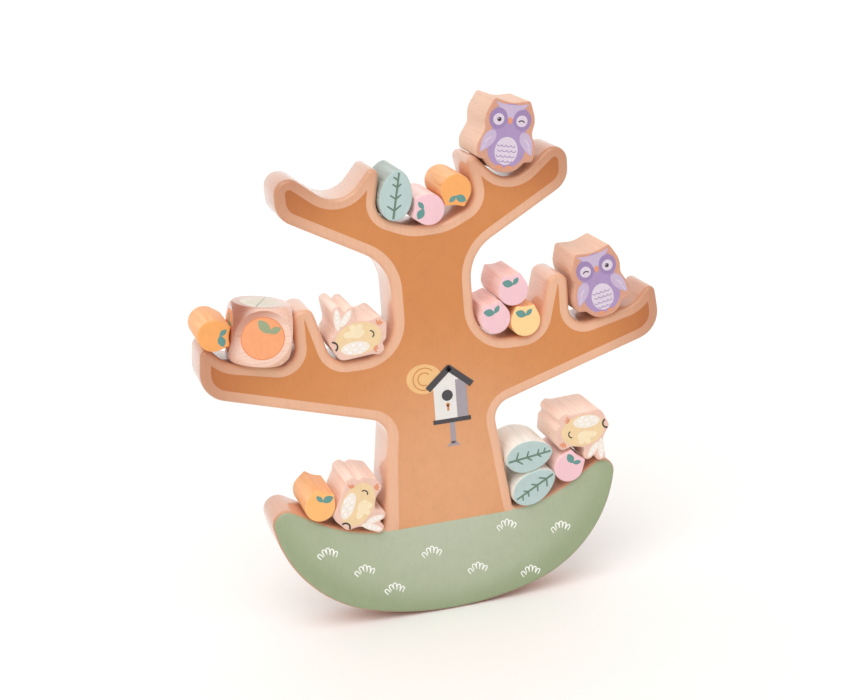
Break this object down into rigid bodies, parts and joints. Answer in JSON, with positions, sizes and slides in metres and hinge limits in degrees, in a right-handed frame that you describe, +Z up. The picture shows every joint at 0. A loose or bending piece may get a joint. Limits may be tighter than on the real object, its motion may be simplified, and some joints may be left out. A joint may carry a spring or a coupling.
{
  "type": "balance tree game",
  "caption": "Wooden balance tree on a rocking base, with forked branches whose pockets carry loose owl, bird, fruit and leaf blocks and a rounded die, stacked without tipping it.",
  "frame": {"origin": "on the rocker's lowest line, below the middle of the trunk and midway through the board", "axes": "+X to the right of the printed front, -Y out of the printed front, +Z up the trunk"},
  "size_m": [0.2304, 0.0354, 0.2542],
  "materials": {
    "tree_wood": "matte print on smooth wood",
    "plain_wood": "smooth",
    "pink_wood": "dyed",
    "orange_wood": "dyed",
    "green_wood": "dyed"
  },
  "bodies": {
    "tree": {"tree_board": "tree_wood"},
    "die": {"die": "plain_wood"},
    "owl_top": {"owl_top": "plain_wood"},
    "owl_right": {"owl_right": "plain_wood"},
    "bird_left": {"bird_left": "plain_wood"},
    "bird_base_left": {"bird_base_left": "plain_wood"},
    "bird_base_right": {"bird_base_right": "plain_wood"},
    "leaf_top": {"leaf_top": "green_wood"},
    "leaf_base_upper": {"leaf_base_upper": "green_wood"},
    "leaf_base_lower": {"leaf_base_lower": "green_wood"},
    "pink_fruit_top": {"pink_fruit_top": "pink_wood"},
    "pink_fruit_lower": {"pink_fruit_lower": "pink_wood"},
    "pink_fruit_upper": {"pink_fruit_upper": "pink_wood"},
    "pink_fruit_base": {"pink_fruit_base": "pink_wood"},
    "orange_fruit_top": {"orange_fruit_top": "orange_wood"},
    "orange_fruit_right": {"orange_fruit_right": "orange_wood"},
    "orange_fruit_left": {"orange_fruit_left": "orange_wood"},
    "orange_fruit_base": {"orange_fruit_base": "orange_wood"}
  },
  "joints": [
    {"name": "die_slide", "type": "slide", "parent": "tree", "child": "die", "axis": [0, -1, 0], "range_m": [0, 0.04]},
    {"name": "owl_top_slide", "type": "slide", "parent": "tree", "child": "owl_top", "axis": [0, -1, 0], "range_m": [0, 0.04]},
    {"name": "owl_right_slide", "type": "slide", "parent": "tree", "child": "owl_right", "axis": [0, -1, 0], "range_m": [0, 0.04]},
    {"name": "bird_left_slide", "type": "slide", "parent": "tree", "child": "bird_left", "axis": [0, -1, 0], "range_m": [0, 0.04]},
    {"name": "bird_base_left_slide", "type": "slide", "parent": "tree", "child": "bird_base_left", "axis": [0, -1, 0], "range_m": [0, 0.04]},
    {"name": "bird_base_right_slide", "type": "slide", "parent": "tree", "child": "bird_base_right", "axis": [0, -1, 0], "range_m": [0, 0.04]},
    {"name": "leaf_top_slide", "type": "slide", "parent": "tree", "child": "leaf_top", "axis": [0, -1, 0], "range_m": [0, 0.04]},
    {"name": "leaf_base_upper_slide", "type": "slide", "parent": "tree", "child": "leaf_base_upper", "axis": [0, -1, 0], "range_m": [0, 0.04]},
    {"name": "leaf_base_lower_slide", "type": "slide", "parent": "tree", "child": "leaf_base_lower", "axis": [0, -1, 0], "range_m": [0, 0.04]},
    {"name": "pink_fruit_top_slide", "type": "slide", "parent": "tree", "child": "pink_fruit_top", "axis": [0, -1, 0], "range_m": [0, 0.04]},
    {"name": "pink_fruit_lower_slide", "type": "slide", "parent": "tree", "child": "pink_fruit_lower", "axis": [0, -1, 0], "range_m": [0, 0.04]},
    {"name": "pink_fruit_upper_slide", "type": "slide", "parent": "tree", "child": "pink_fruit_upper", "axis": [0, -1, 0], "range_m": [0, 0.04]},
    {"name": "pink_fruit_base_slide", "type": "slide", "parent": "tree", "child": "pink_fruit_base", "axis": [0, -1, 0], "range_m": [0, 0.04]},
    {"name": "orange_fruit_top_slide", "type": "slide", "parent": "tree", "child": "orange_fruit_top", "axis": [0, -1, 0], "range_m": [0, 0.04]},
    {"name": "orange_fruit_right_slide", "type": "slide", "parent": "tree", "child": "orange_fruit_right", "axis": [0, -1, 0], "range_m": [0, 0.04]},
    {"name": "orange_fruit_left_slide", "type": "slide", "parent": "tree", "child": "orange_fruit_left", "axis": [0, -1, 0], "range_m": [0, 0.04]},
    {"name": "orange_fruit_base_slide", "type": "slide", "parent": "tree", "child": "orange_fruit_base", "axis": [0, -1, 0], "range_m": [0, 0.04]}
  ]
}
